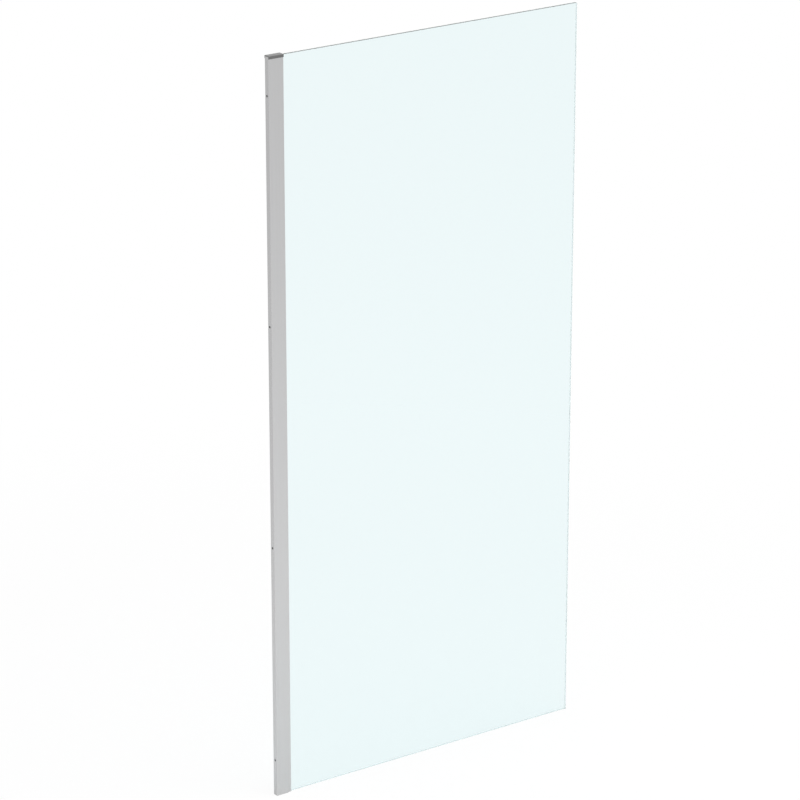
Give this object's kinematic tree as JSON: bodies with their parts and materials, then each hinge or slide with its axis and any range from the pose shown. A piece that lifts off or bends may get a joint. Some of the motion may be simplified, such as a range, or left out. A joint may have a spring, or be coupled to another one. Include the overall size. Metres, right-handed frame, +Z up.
{
  "type": "walk-in shower screen",
  "caption": "Tall clear glass walk-in shower screen with a satin aluminium wall channel, a sliding glazing profile that adjusts its width, a grey top cap and clamp screws behind cover caps.",
  "frame": {"origin": "on the wall face of the wall channel, at its lower end and in the middle of its width, where the wall, the tray and the glass's mid-plane meet", "axes": "+X from the wall to the glass's free edge, +Z up, +Y towards the shower side, where the clamp screws are, and -Y the dry side"},
  "size_m": [0.952, 0.0221, 2.0023],
  "materials": {
    "anodised_aluminium": "satin silver anodised extrusion",
    "clear_glass": "8 mm toughened float glass, clear, satin ground edges",
    "grey_cap_plastic": "moulded mid grey plastic, satin",
    "clear_strip": "translucent soft PVC strip",
    "grey_pad": "soft grey rubber",
    "stainless_steel": "plain stainless steel",
    "white_base_plastic": "moulded white plastic",
    "silver_cover_plastic": "silver-coated moulded plastic"
  },
  "bodies": {
    "wall_frame": {"wall_channel": "anodised_aluminium", "top_cap": "grey_cap_plastic", "clamp_screws": "stainless_steel", "nut_plate_1": "stainless_steel", "nut_plate_2": "stainless_steel", "nut_plate_3": "stainless_steel", "cap_base_1": "white_base_plastic", "cap_base_2": "white_base_plastic", "cap_base_3": "white_base_plastic", "screw_cover_1": "silver_cover_plastic", "screw_cover_2": "silver_cover_plastic", "screw_cover_3": "silver_cover_plastic"},
    "glass_frame": {"glazing_profile": "anodised_aluminium", "glass_panel": "clear_glass", "front_gasket": "clear_strip", "rear_gasket": "clear_strip", "edge_block_1": "grey_pad", "edge_block_2": "grey_pad", "edge_block_3": "grey_pad", "wall_end_packer": "grey_pad", "corner_pad": "grey_pad"}
  },
  "joints": [
    {"name": "width_adjustment", "type": "slide", "parent": "wall_frame", "child": "glass_frame", "axis": [1, 0, 0], "range_m": [-0.008, 0.007]}
  ]
}
